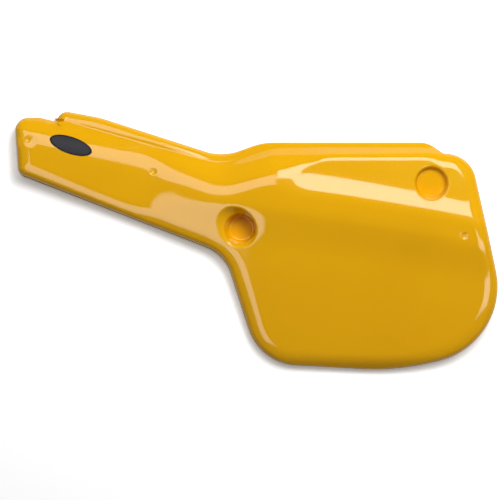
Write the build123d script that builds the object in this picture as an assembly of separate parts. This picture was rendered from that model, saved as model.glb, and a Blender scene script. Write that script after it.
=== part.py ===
"""Side panel for an off-road motorcycle, formed from one sheet of yellow plastic.

Millimetres, +Z up. The panel lies on its open back: the trimmed rim is the plane z = 0,
+X runs towards the broad number plate end and +Y towards the seat.
"""
from build123d import *
from dataclasses import dataclass
from math import cos, exp, hypot, radians, sqrt, tan
import os

# Sheet and mould
WALL = 3.0                  # sheet thickness
DRAFT = 4.0                 # lean of the side walls, degrees
ROLL_RADIUS = 9.5           # outer radius where the face rolls into the side walls

# Outline at the rim, as corners before rounding
ARM_TIP = -271.0            # end of the arm
ARM_TIP_TOP = 137.0         # upper corner of the tip
ARM_TIP_BOTTOM = 73.0       # lower corner of the tip
ARM_TIP_LEAN = 4.5          # the tip's end leans in towards its lower corner
ARM_LOWER_SLOPE = 0.3883    # fall of the arm's lower edge for each unit of X
NECK_X = -36.0              # inside corner between arm and plate
PLATE_LEFT = 3.6            # lower left corner of the plate
PLATE_RIGHT = 285.8         # lower right corner
PLATE_TOP = 93.4            # upper right corner
PLATE_TOP_INSET = 45.2      # how far the upper right corner lies in from the lower one
PLATE_BOTTOM = -147.5       # lowest corner
BOTTOM_INSET = 123.7        # how far the lowest corner lies in from the lower right one
BOTTOM_LEFT_RISE = 8.5      # the lower left corner stands this much above the lowest one
BOTTOM_RIGHT_RISE = 33.2    # the lower right corner stands this much above the lowest one
TIP_CORNER = ROLL_RADIUS + 1.5      # a convex corner stays wider than the roll round it
TIP_TOP_CORNER = 15.0
NECK_CORNER = 47.0
PLATE_LEFT_CORNER = 60.0
PLATE_BOTTOM_CORNER = 280.0
PLATE_RIGHT_CORNER = 86.0
PLATE_TOP_CORNER = 34.0

# Seat flange, the lower ledge behind the face along the whole upper side
FLANGE_HEIGHT = 11.5        # top of the ledge above the rim plane
FLANGE_CROWN = 0.0125       # its fall for each squared unit of distance from the step
FLANGE_PLATE_Y = 109.3      # its outer edge behind the plate
FLANGE_END_INSET = 93.8     # its right-hand end lies this far in from PLATE_RIGHT
FLANGE_END_RUN = 17.5       # length of the slanted right-hand end
FLANGE_END_GAP = 4.0        # the slanted end meets the plate this far behind PLATE_TOP
FLANGE_SHOULDER_X = 7.0     # where it turns down towards the neck
FLANGE_NECK = (-38.0, 93.0)     # lowest point, behind the neck
FLANGE_ARM_BEND = (-175.0, 137.0)
FLANGE_LEFT = (-221.0, 145.5)   # left-hand end corner
NOTCH = (-223.5, 132.5)     # inside corner between the ledge and the tip
TIP_SHOULDER = (-243.0, 137.3)  # the tip's upper edge turns level here
FLANGE_INSIDE_CORNER = 6.0
FLANGE_END_CORNER = 28.0
FLANGE_SHOULDER_CORNER = 75.0
FLANGE_NECK_CORNER = 60.0
FLANGE_BEND_CORNER = 120.0
NOTCH_CORNER = 4.0
TIP_SHOULDER_CORNER = 20.0

# Face heights above the rim plane
ARM_HEIGHT = 20.0           # flat face of the arm
CREST_HEIGHT = 34.5         # highest line of the plate
RISE_START = -125.0         # the face climbs from the arm here
RISE_END = 5.0              # and has reached the plate's height here
RISE_BLEND = 50.0
TIP_RISE = 0.05             # slope by which the arm lifts again towards its tip
TIP_RISE_START = -150.0
TIP_RISE_BLEND = 80.0
CREST_Y = 46.0              # the crest line crosses x = 0 here
CREST_FALL = 0.11           # slope of the crest line there
CREST_BOW = 0.00022         # how much it bends
RIDGE_SLOPE = 0.30          # slope of the shoulder above the crest
RIDGE_BLEND = 24.0          # distance over which the shoulder turns from the crest
RIDGE_FADE = (-10.0, 70.0)  # the shoulder starts and is complete at these X
DISH_EASE = 0.12            # the shoulder flattens by this much into the dish at the top
DISH_START = 33.0
DISH_BLEND = 20.0
VALLEY_SLOPE = 0.23         # slope below the crest
VALLEY_BLEND = 22.0
VALLEY_EASE = 0.15          # it flattens by this much over the lower plate
VALLEY_EASE_START = 46.0
VALLEY_EASE_BLEND = 40.0
VALLEY_FADE = (-190.0, 10.0)    # the valley starts and is complete at these X
BOTTOM_DROOP = 0.45         # slope added towards the lower edge
BOTTOM_DROOP_RUN = 24.0

# Step between face and flange
STEP_FOOT_PLATE = 103.4     # foot of the step behind the plate
STEP_SHOULDER_X = 18.0      # the foot turns down here, towards the neck
STEP_SHOULDER_SLOPE = 0.33
STEP_NECK_X = -40.0         # and back up here, along the arm
STEP_ARM_SLOPE = 0.28
STEP_TURN = 36.0            # length over which the foot turns
STEP_WIDTH_ARM = 46.0       # a broad, soft shoulder on the arm
STEP_WIDTH_NECK = 52.0
STEP_RUN_PLATE = 0.74       # a tight one behind the plate: its width for each unit of height
STEP_NECK_BLEND = (-150.0, -40.0)   # the width changes from arm to neck between these
STEP_PLATE_BLEND = (0.0, 90.0)      # and from neck to plate between these
STEP_SKEW = 0.5             # below 1 the step is steeper at its foot than at its top

# Deep bolt pocket at the neck: a drafted well with an oblique dish round its mouth
DEEP_WELL = (-16.0, 12.9)   # axis of the well
DEEP_FLOOR = 5.0            # seat for the bolt, above the rim plane
DEEP_FLOOR_RADIUS = 15.0
DEEP_WELL_DRAFT = 8.0
DEEP_WELL_DEPTH = 15.5      # from the seat up to the dish
DISH_DRAFT = 45.0
DISH_SHIFT = (-0.82, 0.2)   # sideways lean of the dish for each unit of height

# Shallow bolt pocket near the seat end of the plate
SHALLOW_WELL = (PLATE_RIGHT - 90.9, PLATE_TOP - 29.8)
SHALLOW_FLOOR = 15.5
SHALLOW_FLOOR_RADIUS = 15.7
SHALLOW_DRAFT = 15.0
POCKET_LIP = 3.0            # rounding of a pocket's mouth
POCKET_FLOOR_BEVEL = 2.0    # bevel between a pocket's floor and its wall


@dataclass(frozen=True)
class DrillMark:
    """Dent that guides the drill, in sheet that has sunk a little round it."""

    x: float
    y: float
    radius: float
    sink_depth: float
    sink_radius: float


MARK_DEPTH = 1.2
TIP_MARK = DrillMark(-251.5, 110.0, 7.5, 0.4, 12.0)
ARM_MARK = DrillMark(-114.5, 75.9, 4.5, 1.4, 26.0)
PLATE_MARK = DrillMark(PLATE_RIGHT - 55.3, 4.2, 5.0, 0.5, 14.0)
DRILL_MARKS = (TIP_MARK, ARM_MARK, PLATE_MARK)

# Blank oval decal on the arm
DECAL_CENTRE = (-206.4, 105.0)
DECAL_LENGTH = 49.0
DECAL_WIDTH = 19.0
DECAL_ANGLE = -19.0
DECAL_THICKNESS = 0.4
DECAL_GAP = 0.1             # film of glue between the decal and the sheet

# Surface grid
STATION_STEP = 10.0
FINE_ROWS = 3.0             # spacing of the rows across the tight step behind the plate
COARSE_ROWS = 10.0
FINE_BAND = 30.0
GRID_MARGIN = 14.0
SURFACE_TOLERANCE = 0.05
STOCK_TOP = 60.0            # higher than any point of the panel


def smooth_step(u, width):
    """0 before u = 0, 1 past u = width, with no kink at either end."""
    v = min(max(u / width, 0.0), 1.0)
    return v * v * v * (v * (6.0 * v - 15.0) + 10.0)


def bend(u, width):
    """0 before the bend at u = 0, u past it, turning smoothly over the width."""
    v = min(max(u / width + 0.5, 0.0), 1.0)
    turned = width * v ** 4 * (v * (v - 3.0) + 2.5)
    return turned + max(u - width / 2, 0.0)


def crest_line(x):
    """Y of the crest of the face."""
    return CREST_Y - CREST_FALL * x - CREST_BOW * x * x


def step_foot(x):
    """Y of the line where the step stands on the flange."""
    turn_down = STEP_SHOULDER_SLOPE * bend(STEP_SHOULDER_X - x, STEP_TURN)
    turn_up = (STEP_SHOULDER_SLOPE + STEP_ARM_SLOPE) * bend(STEP_NECK_X - x, STEP_TURN)
    return STEP_FOOT_PLATE - turn_down + turn_up


def distance_below(line, x, y):
    """Distance from the point to the line, positive on its -Y side."""
    slope = (line(x + 1.0) - line(x - 1.0)) / 2.0
    return (line(x) - y) / hypot(1.0, slope)


def blend(x, limits):
    """0 before the first limit, 1 past the second, smooth between them."""
    return smooth_step(x - limits[0], limits[1] - limits[0])


def face_height(x, y):
    """Crowned face before the step: arm, ridge, dish, valley and drooping lower edge."""
    climb = bend(x - RISE_START, RISE_BLEND) - bend(x - RISE_END, RISE_BLEND)
    crest = ARM_HEIGHT + (CREST_HEIGHT - ARM_HEIGHT) * climb / (RISE_END - RISE_START)
    crest += TIP_RISE * bend(TIP_RISE_START - x, TIP_RISE_BLEND)
    below = distance_below(crest_line, x, y)
    ridge = RIDGE_SLOPE * bend(-below - RIDGE_BLEND / 2, RIDGE_BLEND)
    ridge -= DISH_EASE * bend(-below - DISH_START, DISH_BLEND)
    valley = VALLEY_SLOPE * bend(below - VALLEY_BLEND / 2, VALLEY_BLEND)
    valley -= VALLEY_EASE * bend(below - VALLEY_EASE_START, VALLEY_EASE_BLEND)
    droop = BOTTOM_DROOP * bend(PLATE_BOTTOM + BOTTOM_DROOP_RUN / 2 - y, BOTTOM_DROOP_RUN)
    return crest - blend(x, RIDGE_FADE) * ridge - blend(x, VALLEY_FADE) * valley - droop


def step_width(x):
    """Width of the step, broad on the arm and the neck, tight behind the plate."""
    plate = STEP_RUN_PLATE * (CREST_HEIGHT - FLANGE_HEIGHT)
    width = STEP_WIDTH_ARM + (STEP_WIDTH_NECK - STEP_WIDTH_ARM) * blend(x, STEP_NECK_BLEND)
    return width + (plate - STEP_WIDTH_NECK) * blend(x, STEP_PLATE_BLEND)


def panel_height(x, y):
    """Outer surface: face, step and crowned flange, sunk a little round each drill mark."""
    inside = distance_below(step_foot, x, y)
    rise = smooth_step((max(inside, 0.0) / step_width(x)) ** STEP_SKEW, 1.0)
    flange = FLANGE_HEIGHT - FLANGE_CROWN * min(inside, 0.0) ** 2
    height = flange + (face_height(x, y) - flange) * rise
    for mark in DRILL_MARKS:
        reach = hypot(x - mark.x, y - mark.y) / mark.sink_radius
        height -= mark.sink_depth * exp(-reach ** 2)
    return height


def surface_point(x, y, inset):
    """Point of the sheet's surface; the inset, measured across the sheet, lowers it."""
    slope_x = panel_height(x + 0.5, y) - panel_height(x - 0.5, y)
    slope_y = panel_height(x, y + 0.5) - panel_height(x, y - 0.5)
    return Vector(x, y, panel_height(x, y) - inset * hypot(1.0, slope_x, slope_y))


def spaced(start, end, step):
    """Even places from start to end, no more than a step apart."""
    count = max(1, round((end - start) / step))
    return [start + (end - start) * i / count for i in range(count + 1)]


def face_surface(inset):
    """Freeform sheet surface, its rows running along the foot of the step."""
    stations = spaced(ARM_TIP - GRID_MARGIN, PLATE_RIGHT + GRID_MARGIN, STATION_STEP)
    below = FLANGE_PLATE_Y - STEP_FOOT_PLATE + 2 * GRID_MARGIN
    rows = spaced(-below, 0.0, COARSE_ROWS)[:-1]
    rows += spaced(0.0, FINE_BAND, FINE_ROWS)[:-1]
    rows += spaced(FINE_BAND, STEP_FOOT_PLATE - PLATE_BOTTOM + GRID_MARGIN, COARSE_ROWS)
    grid = [[surface_point(x, step_foot(x) - row, inset) for row in rows] for x in stations]
    return Face.make_surface_from_array_of_points(grid, tol=SURFACE_TOLERANCE,
                                                  min_deg=3, max_deg=3)


def panel_outline():
    """Closed outline of the rim, anticlockwise from the lower corner of the tip."""
    tip_x = ARM_TIP + ARM_TIP_LEAN
    neck_y = ARM_TIP_BOTTOM - ARM_LOWER_SLOPE * (NECK_X - tip_x)
    flange_end_x = PLATE_RIGHT - FLANGE_END_INSET
    corners = [
        (tip_x, ARM_TIP_BOTTOM, TIP_CORNER),
        (NECK_X, neck_y, NECK_CORNER),
        (PLATE_LEFT, PLATE_BOTTOM + BOTTOM_LEFT_RISE, PLATE_LEFT_CORNER),
        (PLATE_RIGHT - BOTTOM_INSET, PLATE_BOTTOM, PLATE_BOTTOM_CORNER),
        (PLATE_RIGHT, PLATE_BOTTOM + BOTTOM_RIGHT_RISE, PLATE_RIGHT_CORNER),
        (PLATE_RIGHT - PLATE_TOP_INSET, PLATE_TOP, PLATE_TOP_CORNER),
        (flange_end_x + FLANGE_END_RUN, PLATE_TOP + FLANGE_END_GAP, FLANGE_INSIDE_CORNER),
        (flange_end_x, FLANGE_PLATE_Y, FLANGE_END_CORNER),
        (FLANGE_SHOULDER_X, FLANGE_PLATE_Y, FLANGE_SHOULDER_CORNER),
        (*FLANGE_NECK, FLANGE_NECK_CORNER),
        (*FLANGE_ARM_BEND, FLANGE_BEND_CORNER),
        (*FLANGE_LEFT, TIP_CORNER),
        (*NOTCH, NOTCH_CORNER),
        (*TIP_SHOULDER, TIP_SHOULDER_CORNER),
        (ARM_TIP, ARM_TIP_TOP, TIP_TOP_CORNER),
    ]
    points = [(x, y) for x, y, radius in corners]
    radii = [radius for x, y, radius in corners]
    return make_face(FilletPolyline(*points, radius=radii, close=True))


def moulded_block(inset):
    """Solid under the sheet surface, with drafted walls and a rolled upper edge."""
    stock = sheet_stock(inset)
    outline = panel_outline()
    if inset:
        outline = offset(outline, amount=-inset)
    prism = extrude(outline, amount=STOCK_TOP, taper=DRAFT)
    block = (prism & stock).solids()[0]
    top = max(block.faces().filter_by(GeomType.BSPLINE), key=lambda face: face.area)
    return block.fillet(ROLL_RADIUS - inset, top.outer_wire().edges())


def well(centre, floor_z, floor_radius, draft, top_z, grow):
    """Round drafted plug with a bevelled floor; grown by the wall it is the cup round it."""
    lean = tan(radians(draft))
    height = top_z - floor_z + grow
    bottom = floor_radius + grow / cos(radians(draft)) - grow * lean
    profile = make_face(Polyline((0, 0), (bottom, 0), (bottom + height * lean, height),
                                 (0, height), close=True))
    corner = profile.vertices().sort_by(Axis.Y)[:2].sort_by(Axis.X)[-1]
    bevel = POCKET_FLOOR_BEVEL + grow * (2.0 - sqrt(2.0))
    profile = Plane.XZ * chamfer(corner, bevel)
    return Pos(*centre, floor_z - grow) * revolve(profile, Axis.Z)


def dish(centre, start_z, start_radius, grow):
    """Oblique cone that widens from the well's mouth to above the face."""
    height = STOCK_TOP - start_z
    radius = start_radius + grow / cos(radians(DISH_DRAFT))
    shift = Vector(*DISH_SHIFT, 1.0) * height
    mouth = Circle(radius)
    widened = Circle(radius + height * tan(radians(DISH_DRAFT)))
    return Pos(*centre, start_z) * loft([mouth, Pos(shift) * widened])


def deep_lip_radius():
    """Radius of the well where the dish begins."""
    return DEEP_FLOOR_RADIUS + DEEP_WELL_DEPTH * tan(radians(DEEP_WELL_DRAFT))


def deep_pocket(grow=0.0):
    """Pocket for the lower bolt."""
    lip_z = DEEP_FLOOR + DEEP_WELL_DEPTH
    cup = well(DEEP_WELL, DEEP_FLOOR, DEEP_FLOOR_RADIUS, DEEP_WELL_DRAFT, lip_z, grow)
    return cup + dish(DEEP_WELL, lip_z, deep_lip_radius(), grow)


def shallow_pocket(grow=0.0):
    """Pocket for the upper bolt."""
    return well(SHALLOW_WELL, SHALLOW_FLOOR, SHALLOW_FLOOR_RADIUS, SHALLOW_DRAFT,
                STOCK_TOP, grow)


def drill_mark(mark, grow=0.0):
    """Ball that presses the mark's dent into the sheet."""
    ball = (mark.radius ** 2 + MARK_DEPTH ** 2) / (2 * MARK_DEPTH)
    centre_z = panel_height(mark.x, mark.y) - MARK_DEPTH + ball
    return Pos(mark.x, mark.y, centre_z) * Sphere(ball + grow)


def panel_shell(block):
    """The moulding: an even sheet over the core, with pockets and drill marks pressed in."""
    shell = block - moulded_block(WALL)
    cups = deep_pocket(WALL) + shallow_pocket(WALL)
    for mark in DRILL_MARKS:
        cups += drill_mark(mark, grow=WALL)
    shell += cups & block
    for plug in (deep_pocket(), shallow_pocket()):
        shell -= plug
    lips = pocket_lips(shell)
    shell = shell.solids()[0].fillet(POCKET_LIP, lips)
    for mark in DRILL_MARKS:
        shell -= drill_mark(mark)
    return shell


def pocket_lips(shell):
    """Edges round the pockets' mouths and the lip between dish and well."""
    face = max(shell.faces().filter_by(GeomType.BSPLINE), key=lambda face: face.area)
    mouths = [edge for wire in face.inner_wires() for edge in wire.edges()]
    lips = [edge for edge in shell.edges().filter_by(GeomType.CIRCLE)
            if abs(edge.radius - deep_lip_radius()) < 0.01]
    return mouths + lips


def sheet_stock(inset):
    """Everything under the sheet surface at the inset, down past the rim plane."""
    return extrude(face_surface(inset), amount=STOCK_TOP, dir=(0, 0, -1))


def oval_decal():
    """Thin vinyl oval that follows the face of the arm, a film of glue above it."""
    ellipse = Ellipse(DECAL_LENGTH / 2, DECAL_WIDTH / 2)
    prism = extrude(Pos(*DECAL_CENTRE) * Rot(0, 0, DECAL_ANGLE) * ellipse, amount=STOCK_TOP)
    return (prism & sheet_stock(-DECAL_GAP - DECAL_THICKNESS)) - sheet_stock(-DECAL_GAP)


def main():
    """Write both nodes, with the frame's origin at the middle of the rim's bounding box."""
    os.makedirs("parts", exist_ok=True)
    block = moulded_block(0.0)
    middle = panel_outline().bounding_box().center()
    nodes = {"panel_shell": panel_shell(block), "oval_decal": oval_decal()}
    for name, shape in nodes.items():
        export_step(Pos(-middle.X, -middle.Y, 0) * shape, f"parts/{name}.step")


if __name__ == "__main__":
    main()
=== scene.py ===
"""Glossy yellow side panel of an off-road motorcycle, formed from one plastic sheet.

The panel lies on its open back on a white table. The sizes of its form are kept in
millimetres, as a drawing would give them, and every mesh is written in metres in the
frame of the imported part.
"""
from __future__ import annotations

import logging
from dataclasses import dataclass, field
from enum import Enum
from math import atan2, ceil, cos, exp, hypot, pi, radians, sin, sqrt, tan
from typing import Callable

import bpy
from mathutils import Matrix, Vector
from mathutils.kdtree import KDTree


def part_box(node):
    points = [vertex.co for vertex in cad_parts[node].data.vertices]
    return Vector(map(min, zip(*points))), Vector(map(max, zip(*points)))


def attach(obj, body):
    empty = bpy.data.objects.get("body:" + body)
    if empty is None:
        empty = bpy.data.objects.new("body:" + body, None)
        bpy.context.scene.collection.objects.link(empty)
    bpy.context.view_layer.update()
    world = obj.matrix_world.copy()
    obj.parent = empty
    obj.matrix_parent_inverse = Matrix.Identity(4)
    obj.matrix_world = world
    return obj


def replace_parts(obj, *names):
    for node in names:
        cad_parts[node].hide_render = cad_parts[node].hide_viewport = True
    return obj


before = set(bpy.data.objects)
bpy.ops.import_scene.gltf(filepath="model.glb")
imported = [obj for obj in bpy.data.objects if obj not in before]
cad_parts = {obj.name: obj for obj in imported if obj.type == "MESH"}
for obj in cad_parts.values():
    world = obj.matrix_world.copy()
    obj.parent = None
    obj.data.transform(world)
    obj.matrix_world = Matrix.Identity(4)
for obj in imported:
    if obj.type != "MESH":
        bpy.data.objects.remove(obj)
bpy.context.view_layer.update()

LOG = logging.getLogger("side_panel")
MM = 0.001
FIT = 0.9998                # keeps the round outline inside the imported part's faceted box
SMOOTH_ANGLE = 40.0         # edges sharper than this stay sharp, in degrees
HALVINGS = 40               # steps of a search by halving
SENSOR_WIDTH = 36.0
WHITE = (1.0, 1.0, 1.0, 1.0)
BODY = "root"


# ---------------------------------------------------------------------------
# Small tools
# ---------------------------------------------------------------------------

def smooth_step(u: float, width: float) -> float:
    """Rise from 0 at u = 0 to 1 at u = width, with no kink at either end.

    Args:
        u: Distance from the start of the rise.
        width: Length of the rise.

    Returns:
        A number from 0 to 1.
    """
    v = min(max(u / width, 0.0), 1.0)
    return v * v * v * (v * (6.0 * v - 15.0) + 10.0)


def bend(u: float, width: float) -> float:
    """Turn smoothly from a level line to a line of slope 1 at u = 0.

    Args:
        u: Distance from the corner of the two lines.
        width: Length over which the line turns.

    Returns:
        Height of the bent line at u.
    """
    v = min(max(u / width + 0.5, 0.0), 1.0)
    turned = width * v ** 4 * (v * (v - 3.0) + 2.5)
    return turned + max(u - width / 2, 0.0)


def blend(x: float, limits: tuple[float, float]) -> float:
    """0 before the first limit, 1 past the second, smooth between them."""
    return smooth_step(x - limits[0], limits[1] - limits[0])


def last_passing(passes: Callable[[float], bool], low: float, high: float) -> float:
    """Find by halving where a test stops passing.

    Args:
        passes: Test that passes at low and fails at high.
        low: Start of the search.
        high: End of the search.

    Returns:
        The last value that passes.
    """
    for _ in range(HALVINGS):
        middle = (low + high) / 2
        if passes(middle):
            low = middle
        else:
            high = middle
    return low


def linear(hex_colour: str) -> tuple[float, float, float, float]:
    """Turn an sRGB hex colour into the linear colour that a shader socket takes.

    Args:
        hex_colour: Colour such as "#EDB000".

    Returns:
        Linear red, green, blue and an alpha of 1.
    """
    channels = [int(hex_colour[i:i + 2], 16) / 255.0 for i in (1, 3, 5)]
    mapped = [c / 12.92 if c <= 0.04045 else ((c + 0.055) / 1.055) ** 2.4 for c in channels]
    return (mapped[0], mapped[1], mapped[2], 1.0)


def add_node(material: bpy.types.Material | bpy.types.World, kind: str,
             settings: dict[str, object] | None = None,
             inputs: dict[str | int, object] | None = None) -> bpy.types.Node:
    """Add one shader node with its settings, socket values and links.

    Args:
        material: Material or world that gets the node.
        kind: Blender's name of the node type.
        settings: Node attributes to set.
        inputs: Socket name or number to a value, or to a (node, output name) pair to link.

    Returns:
        The new node.
    """
    tree = material.node_tree
    node = tree.nodes.new(kind)
    for name, value in (settings or {}).items():
        setattr(node, name, value)
    for name, value in (inputs or {}).items():
        if isinstance(value, tuple) and isinstance(value[0], bpy.types.Node):
            tree.links.new(value[0].outputs[value[1]], node.inputs[name])
        else:
            node.inputs[name].default_value = value
    return node


def new_material(name: str) -> bpy.types.Material:
    """Make an empty node material.

    Args:
        name: Name of the material.

    Returns:
        The material, with no nodes.
    """
    material = bpy.data.materials.new(name)
    material.use_nodes = True
    material.node_tree.nodes.clear()
    return material


def object_mode() -> None:
    """Leave edit mode if an object is being edited."""
    if bpy.context.object is not None and bpy.context.object.mode != "OBJECT":
        bpy.ops.object.mode_set(mode="OBJECT")


def deselect_all() -> None:
    """Deselect every object, because an operator acts on all that is selected."""
    object_mode()
    bpy.ops.object.select_all(action="DESELECT")


def only(piece: bpy.types.Object) -> bpy.types.Object:
    """Make one object the only selected and the active one.

    Args:
        piece: Object to work on.

    Returns:
        The same object.
    """
    deselect_all()
    piece.select_set(True)
    bpy.context.view_layer.objects.active = piece
    return piece


def apply_modifier(piece: bpy.types.Object, kind: str, **settings: object) -> None:
    """Add a modifier to a piece and apply it.

    Args:
        piece: Object that gets the modifier.
        kind: Blender's name of the modifier type.
        **settings: Modifier attributes.
    """
    only(piece)
    modifier = piece.modifiers.new(kind.lower(), kind)
    for name, value in settings.items():
        setattr(modifier, name, value)
    bpy.ops.object.modifier_apply(modifier=modifier.name)


def place_mesh(piece: bpy.types.Object, middle: Vector, rim_middle: tuple[float, float]) -> None:
    """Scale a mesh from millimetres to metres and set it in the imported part's frame.

    Args:
        piece: Object whose mesh is in the panel's own millimetres.
        middle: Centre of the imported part's rim, in metres.
        rim_middle: The same centre in the panel's own millimetres.
    """
    shift = Vector((middle.x - rim_middle[0] * MM, middle.y - rim_middle[1] * MM, 0.0))
    piece.data.transform(Matrix.Translation(shift) @ Matrix.Scale(MM * FIT, 4))
    only(piece)
    bpy.ops.object.shade_smooth_by_angle(angle=radians(SMOOTH_ANGLE))


# ---------------------------------------------------------------------------
# Form of the panel
# ---------------------------------------------------------------------------

@dataclass(frozen=True)
class Corner:
    """A corner of the rim's outline before rounding, in millimetres."""

    x: float
    y: float
    radius: float


@dataclass(frozen=True)
class Station:
    """A place on the rim: a point and the direction that points into the panel."""

    x: float
    y: float
    inward_x: float
    inward_y: float

    def inside(self, inward: float) -> tuple[float, float]:
        """Point at a distance in from the rim."""
        return self.x + self.inward_x * inward, self.y + self.inward_y * inward


@dataclass
class RimOutline:
    """Closed outline of the panel's rim, anticlockwise from the tip's lower corner."""

    corners: list[Corner] = field(default_factory=lambda: [
        Corner(-266.5, 73.0, 11.0),
        Corner(-36.0, -16.503, 47.0),
        Corner(3.6, -139.0, 60.0),
        Corner(162.1, -147.5, 280.0),
        Corner(285.8, -114.3, 86.0),
        Corner(240.6, 93.4, 34.0),
        Corner(209.5, 97.4, 6.0),
        Corner(192.0, 109.3, 28.0),
        Corner(7.0, 109.3, 75.0),
        Corner(-38.0, 93.0, 60.0),
        Corner(-175.0, 137.0, 120.0),
        Corner(-221.0, 145.5, 11.0),
        Corner(-223.5, 132.5, 4.0),
        Corner(-243.0, 137.3, 20.0),
        Corner(-271.0, 137.0, 15.0),
    ])
    spacing: float = 1.6
    arc_angle: float = 4.0

    def stations(self) -> list[Station]:
        """Walk round the rounded outline.

        Returns:
            Stations in order, close enough together for smooth rounds.
        """
        arcs = [self._arc(i) for i in range(len(self.corners))]
        walk: list[Station] = []
        for i, arc in enumerate(arcs):
            walk += arc
            start, end = arc[-1], arcs[(i + 1) % len(arcs)][0]
            run = hypot(end.x - start.x, end.y - start.y)
            count = max(1, ceil(run / self.spacing))
            for k in range(1, count):
                part = k / count
                walk.append(Station(start.x + (end.x - start.x) * part,
                                    start.y + (end.y - start.y) * part,
                                    start.inward_x, start.inward_y))
        return walk

    def middle(self) -> tuple[float, float]:
        """Centre of the outline's box."""
        walk = self.stations()
        return ((min(s.x for s in walk) + max(s.x for s in walk)) / 2,
                (min(s.y for s in walk) + max(s.y for s in walk)) / 2)

    def _arc(self, i: int) -> list[Station]:
        """Walk round one corner.

        Args:
            i: Number of the corner.

        Returns:
            Stations from the corner's first tangent point to its last.
        """
        before, here, after = (self.corners[i - 1], self.corners[i],
                               self.corners[(i + 1) % len(self.corners)])
        heading_in = atan2(here.y - before.y, here.x - before.x)
        heading_out = atan2(after.y - here.y, after.x - here.x)
        turn = (heading_out - heading_in + pi) % (2 * pi) - pi
        side = 1.0 if turn > 0 else -1.0
        reach = here.radius * tan(abs(turn) / 2)
        start_x = here.x - reach * cos(heading_in)
        start_y = here.y - reach * sin(heading_in)
        middle_x = start_x - side * here.radius * sin(heading_in)
        middle_y = start_y + side * here.radius * cos(heading_in)
        count = max(2, ceil(max(here.radius * abs(turn) / self.spacing,
                                abs(turn) / radians(self.arc_angle))))
        arc = []
        for k in range(count + 1):
            heading = heading_in + turn * k / count
            arc.append(Station(middle_x + side * here.radius * sin(heading),
                               middle_y - side * here.radius * cos(heading),
                               -sin(heading), cos(heading)))
        return arc


@dataclass(frozen=True)
class DrillMark:
    """A shallow dent that shows where to drill, and the wider sink of the sheet round it."""

    x: float
    y: float
    radius: float
    depth: float
    sink_depth: float
    sink_radius: float

    def drop(self, x: float, y: float) -> float:
        """How far the mark lowers the sheet at a point, in millimetres."""
        away = hypot(x - self.x, y - self.y)
        sink = self.sink_depth * exp(-(away / self.sink_radius) ** 2)
        inside = max(0.0, 1.0 - (away / self.radius) ** 2)
        return sink + self.depth * inside ** 1.5


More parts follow.
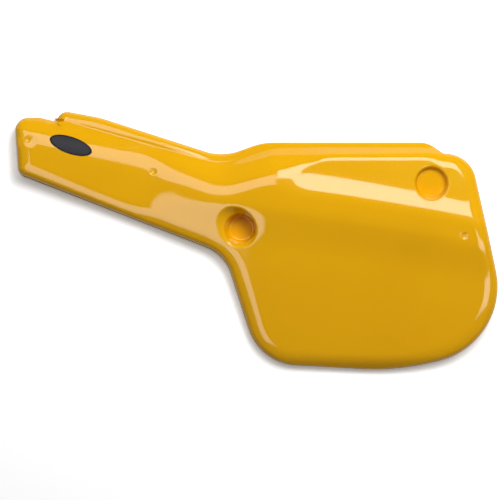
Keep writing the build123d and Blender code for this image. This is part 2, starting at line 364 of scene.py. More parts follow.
@dataclass
class FaceForm:
    """Height of the sheet's outer surface over the rim plane, in millimetres.

    The arm is low and flat. The plate has a crest that falls away to a shoulder and a dish
    on its upper side and to a valley below. A step leads down to the crowned seat flange.
    """

    flange_height: float = 11.5
    flange_crown: float = 0.0125
    arm_height: float = 20.0
    crest_height: float = 34.5
    rise_start: float = -125.0
    rise_end: float = 5.0
    rise_blend: float = 50.0
    tip_rise: float = 0.05
    tip_rise_start: float = -150.0
    tip_rise_blend: float = 80.0
    crest_y: float = 46.0
    crest_fall: float = 0.11
    crest_bow: float = 0.00022
    ridge_slope: float = 0.30
    ridge_blend: float = 24.0
    ridge_fade: tuple[float, float] = (-10.0, 70.0)
    dish_ease: float = 0.12
    dish_start: float = 33.0
    dish_blend: float = 20.0
    valley_slope: float = 0.23
    valley_blend: float = 22.0
    valley_ease: float = 0.15
    valley_ease_start: float = 46.0
    valley_ease_blend: float = 40.0
    valley_fade: tuple[float, float] = (-190.0, 10.0)
    bottom_y: float = -147.5
    bottom_droop: float = 0.45
    bottom_droop_run: float = 24.0
    foot_plate_y: float = 103.4
    foot_shoulder_x: float = 18.0
    foot_shoulder_slope: float = 0.33
    foot_neck_x: float = -40.0
    foot_arm_slope: float = 0.28
    foot_turn: float = 36.0
    step_width_arm: float = 46.0
    step_width_neck: float = 52.0
    step_width_plate: float = 17.0
    step_neck_blend: tuple[float, float] = (-150.0, -40.0)
    step_plate_blend: tuple[float, float] = (0.0, 90.0)
    step_skew: float = 0.5
    marks: list[DrillMark] = field(default_factory=lambda: [
        DrillMark(-251.5, 110.0, 8.5, 0.7, 0.0, 1.0),
        DrillMark(-253.5, 110.8, 3.0, 0.9, 0.0, 1.0),
        DrillMark(-114.5, 75.9, 4.2, 1.3, 1.4, 26.0),
        DrillMark(230.5, 4.2, 4.6, 1.3, 0.5, 12.0),
    ])

    def crest_line(self, x: float) -> float:
        """Y of the crest of the face."""
        return self.crest_y - self.crest_fall * x - self.crest_bow * x * x

    def step_foot(self, x: float) -> float:
        """Y of the line where the step stands on the flange."""
        down = self.foot_shoulder_slope * bend(self.foot_shoulder_x - x, self.foot_turn)
        up = (self.foot_shoulder_slope + self.foot_arm_slope) * bend(self.foot_neck_x - x, self.foot_turn)
        return self.foot_plate_y - down + up

    def below_crest(self, x: float, y: float) -> float:
        """Distance below the crest line, square to it."""
        slope = -self.crest_fall - 2.0 * self.crest_bow * x
        return (self.crest_line(x) - y) / hypot(1.0, slope)

    def below_foot(self, x: float, y: float) -> float:
        """Distance in front of the step's foot, square to it."""
        slope = (self.step_foot(x + 1.0) - self.step_foot(x - 1.0)) / 2.0
        return (self.step_foot(x) - y) / hypot(1.0, slope)

    def face(self, x: float, y: float) -> float:
        """Crowned face before the step.

        Args:
            x: Place along the panel, in millimetres.
            y: Place across it.

        Returns:
            Height over the rim plane, in millimetres.
        """
        climb = bend(x - self.rise_start, self.rise_blend) - bend(x - self.rise_end, self.rise_blend)
        crest = self.arm_height + (self.crest_height - self.arm_height) * climb / (
            self.rise_end - self.rise_start)
        crest += self.tip_rise * bend(self.tip_rise_start - x, self.tip_rise_blend)
        below = self.below_crest(x, y)
        ridge = self.ridge_slope * bend(-below - self.ridge_blend / 2, self.ridge_blend)
        ridge -= self.dish_ease * bend(-below - self.dish_start, self.dish_blend)
        valley = self.valley_slope * bend(below - self.valley_blend / 2, self.valley_blend)
        valley -= self.valley_ease * bend(below - self.valley_ease_start, self.valley_ease_blend)
        droop_start = self.bottom_y + self.bottom_droop_run / 2
        droop = self.bottom_droop * bend(droop_start - y, self.bottom_droop_run)
        return crest - blend(x, self.ridge_fade) * ridge - blend(x, self.valley_fade) * valley - droop

    def step_width(self, x: float) -> float:
        """Width of the step, broad on the arm and the neck, tight behind the plate."""
        neck = (self.step_width_neck - self.step_width_arm) * blend(x, self.step_neck_blend)
        plate = (self.step_width_plate - self.step_width_neck) * blend(x, self.step_plate_blend)
        return self.step_width_arm + neck + plate

    def height(self, x: float, y: float) -> float:
        """Outer surface with step, flange and drill marks."""
        inside = self.below_foot(x, y)
        rise = smooth_step((max(inside, 0.0) / self.step_width(x)) ** self.step_skew, 1.0)
        flange = self.flange_height - self.flange_crown * min(inside, 0.0) ** 2
        level = flange + (self.face(x, y) - flange) * rise
        return level - sum(mark.drop(x, y) for mark in self.marks)


def rounded_profile(points: list[Vector], radii: list[float], arc_steps: int,
                    line_steps: int) -> list[Vector]:
    """Round the inner corners of a flat path, with the same number of points every time.

    Args:
        points: Corners of the path, ends included.
        radii: Rounding of each inner corner.
        arc_steps: Steps round each corner.
        line_steps: Steps along each straight stretch.

    Returns:
        Points of the rounded path, from its first end to its last.
    """
    path: list[Vector] = []
    start = points[0]
    for before, here, after, radius in zip(points, points[1:], points[2:], radii):
        back = (before - here).normalized()
        ahead = (after - here).normalized()
        half = back.angle(ahead) / 2
        reach = radius / tan(half)
        entry, leave = here + back * reach, here + ahead * reach
        centre = here + (back + ahead).normalized() * (radius / sin(half))
        path += [start.lerp(entry, k / line_steps) for k in range(line_steps)]
        for k in range(arc_steps):
            share = k / arc_steps
            swing = pi - 2 * half
            first = (sin(swing * (1 - share)) / sin(swing))
            last = (sin(swing * share) / sin(swing))
            path.append(centre + (entry - centre) * first + (leave - centre) * last)
        start = leave
    path += [start.lerp(points[-1], k / line_steps) for k in range(line_steps + 1)]
    return path


@dataclass
class BoltPocket:
    """Round pocket pressed into the face: a drafted well, with or without a dish above it."""

    x: float
    y: float
    floor_z: float
    floor_radius: float
    draft: float
    floor_fillet: float = 2.0
    lip_radius: float = 3.0
    well_depth: float = 0.0
    well_shift: tuple[float, float] = (0.0, 0.0)
    dish_draft: float = 45.0
    dish_shift: tuple[float, float] = (0.0, 0.0)
    sectors: int = 128
    arc_steps: int = 7
    line_steps: int = 3
    search_top: float = 60.0

    def wall_radius(self, z: float, along: tuple[float, float]) -> float:
        """Distance of the pocket's wall from its axis.

        Args:
            z: Height above the rim plane.
            along: Unit direction from the axis.

        Returns:
            Radius of the wall in that direction.
        """
        lean = tan(radians(self.draft))
        up = z - self.floor_z
        if not self.well_depth:
            return self.floor_radius + up * lean
        in_well, in_dish = min(up, self.well_depth), max(up - self.well_depth, 0.0)
        shift_x = self.well_shift[0] * in_well + self.dish_shift[0] * in_dish
        shift_y = self.well_shift[1] * in_well + self.dish_shift[1] * in_dish
        reach = self.floor_radius + in_well * lean + in_dish * tan(radians(self.dish_draft))
        ahead = shift_x * along[0] + shift_y * along[1]
        return ahead + sqrt(ahead ** 2 - shift_x ** 2 - shift_y ** 2 + reach ** 2)

    def section(self, form: FaceForm, angle: float) -> list[Vector]:
        """Cut through the pocket from its floor to the face in one direction.

        Args:
            form: Surface that the pocket is pressed into.
            angle: Direction from the axis, in radians.

        Returns:
            Points in millimetres, from the floor's middle ring to the face.
        """
        along = (cos(angle), sin(angle))

        def face_at(reach: float) -> float:
            """Height of the face at a distance from the axis."""
            return form.height(self.x + along[0] * reach, self.y + along[1] * reach)

        mouth_z = last_passing(lambda z: face_at(self.wall_radius(z, along)) > z,
                               self.floor_z + self.well_depth, self.search_top)
        mouth = self.wall_radius(mouth_z, along)
        run = 3.0 * self.lip_radius
        corners = [Vector((self.floor_radius * 0.5, self.floor_z)), Vector((self.floor_radius, self.floor_z))]
        radii = [self.floor_fillet]
        if self.well_depth:
            lip_z = self.floor_z + self.well_depth
            corners.append(Vector((self.wall_radius(lip_z, along), lip_z)))
            radii.append(self.lip_radius)
        corners += [Vector((mouth, mouth_z)), Vector((mouth + run, face_at(mouth + run)))]
        radii.append(self.lip_radius)
        flat = rounded_profile(corners, radii, self.arc_steps, self.line_steps)
        flat = flat[:len(flat) - self.line_steps]
        return [Vector((self.x + along[0] * p.x, self.y + along[1] * p.x, p.y)) for p in flat]

    def sections(self, form: FaceForm) -> list[list[Vector]]:
        """Cuts all the way round the pocket."""
        return [self.section(form, 2 * pi * k / self.sectors) for k in range(self.sectors)]


@dataclass
class PanelShell:
    """The moulding: face, rolled and drafted walls, flange, pockets and drill marks."""

    outline: RimOutline = field(default_factory=RimOutline)
    form: FaceForm = field(default_factory=FaceForm)
    pockets: list[BoltPocket] = field(default_factory=lambda: [
        BoltPocket(-16.0, 12.9, 5.0, 14.3, 10.6, floor_fillet=3.0, well_depth=15.5,
                   well_shift=(-0.17, -0.06), dish_draft=51.0, dish_shift=(-1.05, -0.45)),
        BoltPocket(194.9, 63.6, 15.5, 15.7, 15.0),
    ])
    wall: float = 3.0
    draft: float = 4.0
    roll_radius: float = 9.0
    ledge_roll_radius: float = 4.0
    ledge_top: float = 12.5
    ledge_blend: float = 5.0
    ledge_fade: tuple[float, float] = (-40.0, 20.0)
    roll_steps: int = 12
    wall_steps: int = 4
    station_step: float = 2.0
    row_step: float = 2.1
    fine_row_step: float = 0.8
    seam_gap: float = 1.0
    probe: float = 0.1
    shoulder_width: float = 18.0
    shoulder_radius: float = 36.0

    def build(self, middle: Vector) -> bpy.types.Object:
        """Model the moulding as one closed sheet.

        Args:
            middle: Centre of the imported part's rim, in metres.

        Returns:
            The finished piece.
        """
        stations = self.outline.stations()
        rolls = [self.roll(station) for station in stations]
        blank = self.face_blank(rolls, stations)
        panel = self.sew(blank, rolls)
        self.press_marks(panel)
        self.lift(panel, stations)
        self.draw_rings(panel, 1, [list(reversed(roll)) for roll in rolls])
        for number, pocket in enumerate(self.pockets, start=2):
            self.draw_rings(panel, number, [list(reversed(cut)) for cut in pocket.sections(self.form)])
            self.close_floor(panel)
        self.thicken(panel)
        place_mesh(panel, middle, self.outline.middle())
        return panel

    def roll(self, station: Station) -> list[Vector]:
        """Section of the wall and the roll at one station of the rim.

        Args:
            station: Place on the rim.

        Returns:
            Points in millimetres, from the rim up to where the roll meets the face.
        """
        lean = radians(self.draft)
        radius = self.roll_radius_at(station)

        def face_at(inward: float) -> float:
            """Height of the face at a distance in from the rim."""
            return self.form.height(*station.inside(inward)) - self.shoulder(inward, station)

        def ball_under(inward: float) -> tuple[float, float]:
            """Centre of the ball that touches the face there from below."""
            slope = (face_at(inward + self.probe) - face_at(inward - self.probe)) / (2 * self.probe)
            size = hypot(1.0, slope)
            return inward + radius * slope / size, face_at(inward) - radius / size

        def cuts_wall(inward: float) -> bool:
            """Whether that ball still cuts the wall."""
            ball_in, ball_up = ball_under(inward)
            return ball_in * cos(lean) - ball_up * sin(lean) < radius

        low = last_passing(cuts_wall, 0.0, 4.0 * radius)
        ball_in, ball_up = ball_under(low)
        wall_top = (ball_in - radius * cos(lean), ball_up + radius * sin(lean))
        section = [(wall_top[0] * k / self.wall_steps, wall_top[1] * k / self.wall_steps)
                   for k in range(self.wall_steps)]
        first = pi - lean
        last = atan2(face_at(low) - ball_up, low - ball_in)
        for k in range(self.roll_steps):
            angle = first + (last - first) * k / self.roll_steps
            section.append((ball_in + radius * cos(angle), ball_up + radius * sin(angle)))
        section.append((low, face_at(low)))
        return [Vector((*station.inside(inward), up)) for inward, up in section]

    def roll_radius_at(self, station: Station) -> float:
        """Radius of the roll, tighter along the narrow ledge behind the plate."""
        ledge = blend(station.x, self.ledge_fade) * (1.0 - self.raised(station, self.roll_radius / 2))
        return self.roll_radius + (self.ledge_roll_radius - self.roll_radius) * ledge

    def raised(self, station: Station, inward: float) -> float:
        """0 where the sheet beside the rim is as low as the ledge, 1 where it is clearly higher."""
        return smooth_step(self.form.height(*station.inside(inward)) - self.ledge_top, self.ledge_blend)

    def shoulder(self, inward: float, station: Station) -> float:
        """How far the face eases down towards the roll, away from the ledge and the flange.

        Args:
            inward: Distance in from the rim, in millimetres.
            station: Nearest place on the rim.

        Returns:
            Drop below the form, in millimetres.
        """
        near = max(self.shoulder_width - inward, 0.0)
        return self.raised(station, self.shoulder_width) * near * near / (2.0 * self.shoulder_radius)

    def face_blank(self, rolls: list[list[Vector]], stations: list[Station]) -> bpy.types.Object:
        """Flat grid for the face, its rows along the step, trimmed inside the roll and the pockets.

        Args:
            rolls: Sections of the roll, whose last points bound the face.
            stations: Places on the rim, in the same order.

        Returns:
            The grid, in millimetres at z = 0.
        """
        columns, rows = self.columns(rolls), self.rows()
        deselect_all()
        bpy.ops.mesh.primitive_grid_add(x_subdivisions=len(columns) - 1, y_subdivisions=len(rows) - 1,
                                        size=1.0)
        blank = bpy.context.object
        blank.name = "panel_shell_formed"
        edge = self.tree([roll[-1] for roll in rolls])
        mouths = [self.tree([cut[-1] for cut in pocket.sections(self.form)]) for pocket in self.pockets]
        outside = []
        for vertex in blank.data.vertices:
            x = columns[round((vertex.co.x + 0.5) * (len(columns) - 1))]
            y = self.form.step_foot(x) - rows[round((vertex.co.y + 0.5) * (len(rows) - 1))]
            vertex.co = (x, y, 0.0)
            outside.append(self.trimmed(vertex.co, edge, stations, mouths))
        bpy.ops.object.mode_set(mode="EDIT")
        bpy.ops.mesh.select_mode(type="VERT")
        bpy.ops.mesh.select_all(action="DESELECT")
        bpy.ops.object.mode_set(mode="OBJECT")
        for vertex, cut in zip(blank.data.vertices, outside):
            vertex.select = cut
        bpy.ops.object.mode_set(mode="EDIT")
        bpy.ops.mesh.delete(type="VERT")
        bpy.ops.object.mode_set(mode="OBJECT")
        return blank

    def columns(self, rolls: list[list[Vector]]) -> list[float]:
        """X of the grid's columns, over the whole length of the panel."""
        low = min(roll[-1].x for roll in rolls) - self.station_step
        high = max(roll[-1].x for roll in rolls) + self.station_step
        count = ceil((high - low) / self.station_step)
        return [low + (high - low) * k / count for k in range(count + 1)]

    def rows(self) -> list[float]:
        """Distances of the grid's rows in front of the step's foot, close together on the step."""
        rows, place = [], -14.0
        while place < 256.0:
            rows.append(place)
            near = smooth_step(place + 6.0, 4.0) - smooth_step(place - 12.0, 26.0)
            place += self.row_step + (self.fine_row_step - self.row_step) * near
        return rows

    @staticmethod
    def tree(points: list[Vector]) -> KDTree:
        """Search tree of the points of one flat loop."""
        tree = KDTree(len(points))
        for number, point in enumerate(points):
            tree.insert((point.x, point.y, 0.0), number)
        tree.balance()
        return tree

    def trimmed(self, point: Vector, edge: KDTree, stations: list[Station], mouths: list[KDTree]) -> bool:
        """Whether a grid point lies outside the face or over a pocket.

        Args:
            point: Flat grid point.
            edge: Search tree of the loop where the roll meets the face.
            stations: Places on the rim, in the order of that loop.
            mouths: Search tree of each pocket's mouth.

        Returns:
            True where the point is cut away.
        """
        near, number, _ = edge.find(point)
        station = stations[number]
        inward = (point.x - near.x) * station.inward_x + (point.y - near.y) * station.inward_y
        if inward < self.seam_gap:
            return True
        for pocket, mouth in zip(self.pockets, mouths):
            rim, _, gap = mouth.find(point)
            inside = hypot(point.x - pocket.x, point.y - pocket.y) < hypot(rim.x - pocket.x, rim.y - pocket.y)
            if inside or gap < self.seam_gap:
                return True
        return False

    def sew(self, blank: bpy.types.Object, rolls: list[list[Vector]]) -> bpy.types.Object:
        """Join the grid to the loops that bound it and fill the seams between them.

        Args:
            blank: Trimmed grid.
            rolls: Sections of the roll.

        Returns:
            The flat face, with the number of its loop kept on each loop's points.
        """
        loops = [[roll[-1] for roll in rolls]]
        loops += [[cut[-1] for cut in pocket.sections(self.form)] for pocket in self.pockets]
        self.add_layers(blank)
        for number, points in enumerate(loops, start=1):
            deselect_all()
            bpy.ops.mesh.primitive_circle_add(vertices=len(points), radius=1.0, fill_type="NOTHING")
            loop = bpy.context.object
            self.add_layers(loop)
            for k, (vertex, point) in enumerate(zip(loop.data.vertices, points)):
                vertex.co = (point.x, point.y, 0.0)
                loop.data.attributes["loop"].data[k].value = number
                loop.data.attributes["place"].data[k].value = k
            only(blank)
            loop.select_set(True)
            bpy.ops.object.join()
        for number, points in enumerate(loops, start=1):
            self.fill_seam(blank, self.tree(points), 2.2 * self.row_step)
        return blank

    @staticmethod
    def add_layers(piece: bpy.types.Object) -> None:
        """Give a mesh the two point layers that name a loop and a place along it."""
        for name in ("loop", "place"):
            piece.data.attributes.new(name, "INT", "POINT")

    @staticmethod
    def fill_seam(panel: bpy.types.Object, loop: KDTree, reach: float) -> None:
        """Fill between one loop and the open edge of the grid beside it.

        Args:
            panel: Grid joined to its loops.
            loop: Search tree of the loop's points.
            reach: Farthest an open edge may be from the loop, in millimetres.
        """
        only(panel)
        bpy.ops.object.mode_set(mode="EDIT")
        bpy.ops.mesh.select_mode(type="EDGE")
        bpy.ops.mesh.select_all(action="DESELECT")
        bpy.ops.mesh.select_non_manifold(extend=False)
        bpy.ops.object.mode_set(mode="OBJECT")
        mesh = panel.data
        for line in mesh.edges:
            ends = [mesh.vertices[k].co for k in line.vertices]
            if line.select and max(loop.find(end)[2] for end in ends) > reach:
                line.select = False
        bpy.ops.object.mode_set(mode="EDIT")
        bpy.ops.mesh.fill(use_beauty=True)
        bpy.ops.object.mode_set(mode="OBJECT")

    def press_marks(self, panel: bpy.types.Object) -> None:
        """Divide the grid round each drill mark finely enough for the dent.

        Args:
            panel: Flat face.
        """
        only(panel)
        for mark in self.form.marks:
            bpy.ops.object.mode_set(mode="EDIT")
            bpy.ops.mesh.select_mode(type="FACE")
            bpy.ops.mesh.select_all(action="DESELECT")
            bpy.ops.object.mode_set(mode="OBJECT")
            for face in panel.data.polygons:
                away = hypot(face.center.x - mark.x, face.center.y - mark.y)
                face.select = away < mark.radius + 1.5
            bpy.ops.object.mode_set(mode="EDIT")
            bpy.ops.mesh.subdivide(number_cuts=2)
            bpy.ops.object.mode_set(mode="OBJECT")

    def lift(self, panel: bpy.types.Object, stations: list[Station]) -> None:
        """Raise every point of the flat face to the form, eased down along the rim.

        Args:
            panel: Flat face with its loops.
            stations: Places on the rim.
        """
        rim = self.tree([Vector((station.x, station.y, 0.0)) for station in stations])
        loops = panel.data.attributes["loop"].data
        for vertex in panel.data.vertices:
            flat = Vector((vertex.co.x, vertex.co.y, 0.0))
            _, number, away = rim.find(flat)
            vertex.co.z = self.form.height(flat.x, flat.y)
            if loops[vertex.index].value < 2:
                vertex.co.z -= self.shoulder(away, stations[number])

    @staticmethod
    def draw_rings(panel: bpy.types.Object, number: int, sections: list[list[Vector]]) -> None:
        """Extrude one loop ring by ring along its sections.

        Args:
            panel: Piece that holds the loop.
            number: Number of the loop.
            sections: For each place on the loop, points from the face outwards.
        """
        only(panel)
        loops = panel.data.attributes["loop"].data
        chosen = {k for k, item in enumerate(loops) if item.value == number}
        bpy.ops.object.mode_set(mode="EDIT")
        bpy.ops.mesh.select_mode(type="EDGE")
        bpy.ops.mesh.select_all(action="DESELECT")
        bpy.ops.mesh.select_non_manifold(extend=False)
        bpy.ops.object.mode_set(mode="OBJECT")
        for line in panel.data.edges:
            line.select = line.select and set(line.vertices) <= chosen
        for ring in range(1, len(sections[0])):
            bpy.ops.object.mode_set(mode="EDIT")
            bpy.ops.mesh.extrude_edges_move()
            bpy.ops.object.mode_set(mode="OBJECT")
            places = panel.data.attributes["place"].data
            for vertex in panel.data.vertices:
                if vertex.select:
                    vertex.co = sections[places[vertex.index].value][ring]

    @staticmethod
    def close_floor(panel: bpy.types.Object) -> None:
        """Fill the ring drawn last, which lies flat on a pocket's floor and is still selected."""
        only(panel)
        bpy.ops.object.mode_set(mode="EDIT")
        bpy.ops.mesh.edge_face_add()
        bpy.ops.mesh.poke()
        bpy.ops.object.mode_set(mode="OBJECT")

    def thicken(self, panel: bpy.types.Object) -> None:
        """Give the outer skin its wall and trim the rim flat.

        Args:
            panel: Open outer skin.
        """
        only(panel)
        bpy.ops.object.mode_set(mode="EDIT")
        bpy.ops.mesh.select_all(action="SELECT")
        bpy.ops.mesh.normals_make_consistent(inside=False)
        bpy.ops.object.mode_set(mode="OBJECT")
        if self.faces_down(panel):
            bpy.ops.object.mode_set(mode="EDIT")
            bpy.ops.mesh.select_all(action="SELECT")
            bpy.ops.mesh.flip_normals()
            bpy.ops.object.mode_set(mode="OBJECT")
        apply_modifier(panel, "SOLIDIFY", thickness=self.wall, offset=-1.0, use_even_offset=False,
                       use_quality_normals=True)
        for vertex in panel.data.vertices:
            vertex.co.z = max(vertex.co.z, 0.0)

    @staticmethod
    def faces_down(panel: bpy.types.Object) -> bool:
        """Whether the open skin's faces point down on the whole."""
        return sum(face.normal.z * face.area for face in panel.data.polygons) < 0.0


@dataclass
class OvalDecal:
    """Blank oval sticker on the arm: a dark printed vinyl film with a black border."""

    form: FaceForm
    centre: tuple[float, float] = (-206.4, 105.0)
    length: float = 49.0
    width: float = 19.0
    turn: float = -19.0
    film: float = 0.3
    sunk: float = 0.05
    sectors: int = 96
    rings: int = 14

    def build(self, middle: Vector, rim_middle: tuple[float, float]) -> bpy.types.Object:
        """Model the film as a closed oval that follows the sheet.

        Args:
            middle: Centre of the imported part's rim, in metres.
            rim_middle: The same centre in the panel's own millimetres.

        Returns:
            The finished piece.
        """
        deselect_all()
        bpy.ops.mesh.primitive_circle_add(vertices=self.sectors, radius=1.0, fill_type="NGON")
        decal = bpy.context.object
        decal.name = "oval_decal_vinyl"
        bpy.ops.object.mode_set(mode="EDIT")
        bpy.ops.mesh.select_mode(type="FACE")
        bpy.ops.mesh.select_all(action="SELECT")
        for ring in range(self.rings - 1):
            bpy.ops.mesh.inset(thickness=1.0 / self.rings, depth=0.0)
        bpy.ops.mesh.poke()
        bpy.ops.object.mode_set(mode="OBJECT")
        self.lay(decal)
        apply_modifier(decal, "SOLIDIFY", thickness=self.film + self.sunk, offset=-1.0)
        place_mesh(decal, middle, rim_middle)
        return decal

    def lay(self, decal: bpy.types.Object) -> None:
        """Stretch the disc to the oval, turn it along the arm and drop it on the sheet.

        Args:
            decal: Flat disc of radius 1.
        """
        slant = radians(self.turn)
        for vertex in decal.data.vertices:
            along = vertex.co.x * self.length / 2
            across = vertex.co.y * self.width / 2
            x = self.centre[0] + along * cos(slant) - across * sin(slant)
            y = self.centre[1] + along * sin(slant) + across * cos(slant)
            vertex.co = (x, y, self.form.height(x, y) + self.film)


# ---------------------------------------------------------------------------
# Finishes
# ---------------------------------------------------------------------------

class Noise(Enum):
    """Kinds of small unevenness, by their real size in millimetres."""

    ORANGE_PEEL = 2.4
    POLISH = 9.0
    SHEET_WAVE = 34.0
    COLOUR_DRIFT = 110.0

    @property
    def scale(self) -> float:
        """Scale of a noise texture on Object coordinates in metres."""
        return 1.0 / (self.value * MM)


@dataclass(frozen=True)
class FormedPlastic:
    """Vacuum-formed ABS sheet, coloured through and glossy.

    The sheet is rolled smooth before it is formed, so its gloss is nearly that of a mirror,
    with a faint orange peel and the long waves that a sheet gets as it cools on the mould.
    """

    colour: str = "#EDB000"
    deep_colour: str = "#E6A700"
    roughness: float = 0.075
    roughness_drift: float = 0.03
    ior: float = 1.54
    peel_height: float = 0.004
    wave_height: float = 0.05

    def material(self) -> bpy.types.Material:
        """Make the shader."""
        made = new_material("vacuum_formed_yellow_plastic")
        place = add_node(made, "ShaderNodeTexCoord")
        drift = self.noise(made, place, Noise.COLOUR_DRIFT, detail=2.0)
        polish = self.noise(made, place, Noise.POLISH, detail=3.0)
        peel = self.noise(made, place, Noise.ORANGE_PEEL, detail=1.0)
        wave = self.noise(made, place, Noise.SHEET_WAVE, detail=0.0)
        colour = add_node(made, "ShaderNodeMix", {"data_type": "RGBA"},
                          {0: (drift, "Fac"), 6: linear(self.colour), 7: linear(self.deep_colour)})
        gloss = add_node(made, "ShaderNodeMapRange", inputs={
            "Value": (polish, "Fac"), "From Min": 0.3, "From Max": 0.7,
            "To Min": self.roughness - self.roughness_drift, "To Max": self.roughness + self.roughness_drift})
        long_wave = add_node(made, "ShaderNodeBump", inputs={
            "Strength": 1.0, "Distance": self.wave_height * MM, "Height": (wave, "Fac")})
        fine_peel = add_node(made, "ShaderNodeBump", inputs={
            "Strength": 1.0, "Distance": self.peel_height * MM, "Height": (peel, "Fac"),
            "Normal": (long_wave, "Normal")})
        shader = add_node(made, "ShaderNodeBsdfPrincipled", inputs={
            "Base Color": (colour, 2), "Roughness": (gloss, "Result"), "IOR": self.ior,
            "Normal": (fine_peel, "Normal")})
        add_node(made, "ShaderNodeOutputMaterial", inputs={"Surface": (shader, "BSDF")})
        return made

    @staticmethod
    def noise(made: bpy.types.Material, place: bpy.types.Node, kind: Noise, detail: float) -> bpy.types.Node:
        """Add one noise texture of a real size."""
        return add_node(made, "ShaderNodeTexNoise", inputs={
            "Vector": (place, "Object"), "Scale": kind.scale, "Detail": detail, "Roughness": 0.5})


@dataclass(frozen=True)
class PrintedVinyl:
    """Cast vinyl film, printed dark grey inside a black border, under a satin layer."""

    field_colour: str = "#2B2B31"
    border_colour: str = "#0C0C0F"
    border: float = 1.1
    edge_blur: float = 0.02
    roughness: float = 0.3
    sheen: float = 0.15
    grain_height: float = 0.004

    def material(self, decal: OvalDecal, middle: Vector,
                 rim_middle: tuple[float, float]) -> bpy.types.Material:
        """Make the shader, its border drawn by the film's own oval.

        Args:
            decal: Film that gives the oval's place and size.
            middle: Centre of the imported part's rim, in metres.
            rim_middle: The same centre in the panel's own millimetres.

        Returns:
            The material.
        """
        made = new_material("printed_cast_vinyl_film")
        place = add_node(made, "ShaderNodeTexCoord")
        centre = (middle.x + (decal.centre[0] - rim_middle[0]) * MM,
                  middle.y + (decal.centre[1] - rim_middle[1]) * MM, 0.0)
        across = (decal.length / 2 * MM, decal.width / 2 * MM, 1.0)
        oval = add_node(made, "ShaderNodeMapping", {"vector_type": "TEXTURE"}, {
            "Vector": (place, "Object"), "Location": centre,
            "Rotation": (0.0, 0.0, radians(decal.turn)), "Scale": across})
        flat = add_node(made, "ShaderNodeVectorMath", {"operation": "MULTIPLY"},
                        {0: (oval, "Vector"), 1: (1.0, 1.0, 0.0)})
        reach = add_node(made, "ShaderNodeVectorMath", {"operation": "LENGTH"}, {0: (flat, "Vector")})
        inner = 1.0 - self.border / (decal.width / 2)
        edge = add_node(made, "ShaderNodeMapRange", inputs={
            "Value": (reach, "Value"), "From Min": inner - self.edge_blur,
            "From Max": inner + self.edge_blur})
        colour = add_node(made, "ShaderNodeMix", {"data_type": "RGBA"}, {
            0: (edge, "Result"), 6: linear(self.field_colour), 7: linear(self.border_colour)})
        grain = add_node(made, "ShaderNodeTexNoise", inputs={
            "Vector": (place, "Object"), "Scale": Noise.ORANGE_PEEL.scale, "Detail": 2.0})
        bump = add_node(made, "ShaderNodeBump", inputs={
            "Strength": 1.0, "Distance": self.grain_height * MM, "Height": (grain, "Fac")})
        shader = add_node(made, "ShaderNodeBsdfPrincipled", inputs={
            "Base Color": (colour, 2), "Roughness": self.roughness, "IOR": 1.5,
            "Specular IOR Level": self.sheen, "Normal": (bump, "Normal")})
        add_node(made, "ShaderNodeOutputMaterial", inputs={"Surface": (shader, "BSDF")})
        return made


@dataclass(frozen=True)
class WhiteTable:
    """Matt white laminate table top, which the camera sees as plain white where it is lit."""

    colour: str = "#E6E6E6"
    camera_gain: float = 1.16
    camera_glow: float = 0.23

    def material(self) -> bpy.types.Material:
        """Make the shader."""
        made = new_material("matt_white_laminate")
        ray = add_node(made, "ShaderNodeLightPath")
        tone = add_node(made, "ShaderNodeMix", {"data_type": "RGBA"}, {
            0: (ray, "Is Camera Ray"), 6: linear(self.colour), 7: (*[self.camera_gain] * 3, 1.0)})
        board = add_node(made, "ShaderNodeBsdfDiffuse", inputs={"Color": (tone, 2)})
        glow = add_node(made, "ShaderNodeMath", {"operation": "MULTIPLY"},
                        {0: (ray, "Is Camera Ray"), 1: self.camera_glow})
        shine = add_node(made, "ShaderNodeEmission", inputs={
            "Color": WHITE, "Strength": (glow, "Value")})
        both = add_node(made, "ShaderNodeAddShader", inputs={0: (board, "BSDF"), 1: (shine, "Emission")})
        add_node(made, "ShaderNodeOutputMaterial", inputs={"Surface": (both, "Shader")})
        return made


# ---------------------------------------------------------------------------
# Table, lights and camera
# ---------------------------------------------------------------------------

@dataclass(frozen=True)
class Softbox:
    """Level rectangular studio lamp hung over the table.

    Attributes:
        name: Plain name.
        bearing: Direction from the panel's middle to the lamp, in degrees from +X towards +Y.
        near: Distance of its near edge from over the panel's middle, in metres.
        far: Distance of its far edge.
        right: How far it reaches to the right, seen from the panel's middle.
        left: How far it reaches to the left.
        radiance: Brightness of its face.
        hang: Height over the table, in metres.
        lights: Whether it lights the panel, or is only mirrored in its gloss.
        mirrored: Whether the gloss mirrors it.
    """

    name: str
    bearing: float
    near: float
    far: float
    right: float
    left: float
    radiance: float
    hang: float = 1.0
    lights: bool = True
    mirrored: bool = True

    def build(self, middle: Vector) -> bpy.types.Object:
        """Hang the lamp face down, its edges across its bearing.

        Args:
            middle: Point on the table that the distances are measured from.

        Returns:
            The lamp.
        """
        turn = Matrix.Rotation(radians(self.bearing), 4, "Z")
        centre = Vector(((self.near + self.far) / 2, (self.left - self.right) / 2, self.hang))
        lamp = bpy.data.lights.new(self.name, "AREA")
        lamp.shape = "RECTANGLE"
        lamp.size, lamp.size_y = self.far - self.near, self.left + self.right
        lamp.energy = self.radiance * pi * lamp.size * lamp.size_y
        hung = bpy.data.objects.new(self.name, lamp)
        hung.matrix_world = Matrix.Translation(middle) @ turn @ Matrix.Translation(centre)
        hung.visible_diffuse, hung.visible_glossy = self.lights, self.mirrored
        bpy.context.scene.collection.objects.link(hung)
        return hung


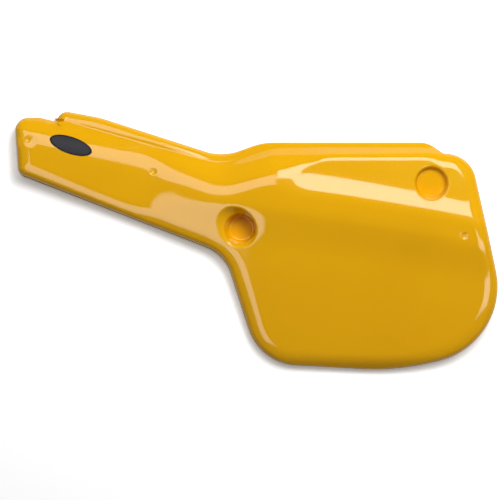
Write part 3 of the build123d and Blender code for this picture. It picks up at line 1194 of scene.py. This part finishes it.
@dataclass
class Studio:
    """White table, soft lamps all round and a camera straight above."""

    table_size: float = 12.0
    camera_distance: float = 2.4
    camera_lens: float = 153.9
    aim_offset: tuple[float, float] = (-7.204, -10.596)
    world_level: float = 0.12
    lamps: tuple[Softbox, ...] = (
        Softbox("key_back_right", 90.0, 0.565, 1.05, 0.62, -0.10, 6.9),
        Softbox("fill_back_left", 90.0, 0.31, 0.78, 0.08, 0.60, 3.1),
        Softbox("card_left", 205.0, 0.29, 0.64, 0.30, 0.40, 3.0, lights=False),
        Softbox("card_right", 350.0, 0.44, 0.80, 0.25, 0.16, 4.2, lights=False),
        Softbox("key_side", 52.0, 1.0, 2.8, 0.80, 0.80, 6.9, hang=2.2, mirrored=False),
    )

    def build(self, middle: Vector) -> None:
        """Set up the whole studio round the panel.

        Args:
            middle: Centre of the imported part's rim, in metres.
        """
        self.lay_table()
        self.light_world()
        for lamp in self.lamps:
            lamp.build(middle)
        self.set_camera(middle)

    def lay_table(self) -> None:
        """Large flat table top at the rim plane."""
        deselect_all()
        bpy.ops.mesh.primitive_plane_add(size=self.table_size)
        table = bpy.context.object
        table.name = "table_top"
        table.data.materials.append(WhiteTable().material())

    def light_world(self) -> None:
        """Dim room, which the camera sees as white."""
        world = bpy.data.worlds.new("studio_room")
        world.use_nodes = True
        world.node_tree.nodes.clear()
        ray = add_node(world, "ShaderNodeLightPath")
        level = add_node(world, "ShaderNodeMapRange", inputs={
            "Value": (ray, "Is Camera Ray"), "To Min": self.world_level})
        room = add_node(world, "ShaderNodeBackground", inputs={
            "Color": WHITE, "Strength": (level, "Result")})
        add_node(world, "ShaderNodeOutputWorld", inputs={"Surface": (room, "Background")})
        bpy.context.scene.world = world

    def set_camera(self, middle: Vector) -> None:
        """Camera straight over the panel, a little off its middle.

        Args:
            middle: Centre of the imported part's rim, in metres.
        """
        camera = bpy.data.cameras.new("camera")
        camera.lens, camera.sensor_width = self.camera_lens, SENSOR_WIDTH
        shot = bpy.data.objects.new("camera", camera)
        shot.location = middle + Vector((self.aim_offset[0] * MM, self.aim_offset[1] * MM,
                                         self.camera_distance))
        bpy.context.scene.collection.objects.link(shot)
        bpy.context.scene.camera = shot


def main() -> None:
    """Build the panel, its decal and the studio in order."""
    logging.basicConfig(level=logging.INFO, format="%(message)s")
    low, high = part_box("panel_shell")
    middle = Vector(((low.x + high.x) / 2, (low.y + high.y) / 2, 0.0))
    bpy.context.scene.view_settings.view_transform = "Standard"

    shell = PanelShell()
    panel = shell.build(middle)
    panel.data.materials.clear()
    panel.data.materials.append(FormedPlastic().material())
    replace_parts(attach(panel, BODY), "panel_shell")
    LOG.info("%s: %d faces", panel.name, len(panel.data.polygons))

    sticker = OvalDecal(shell.form)
    decal = sticker.build(middle, shell.outline.middle())
    decal.data.materials.append(PrintedVinyl().material(sticker, middle, shell.outline.middle()))
    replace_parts(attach(decal, BODY), "oval_decal")
    LOG.info("%s: %d faces", decal.name, len(decal.data.polygons))

    Studio().build(middle)


if __name__ == "__main__":
    main()
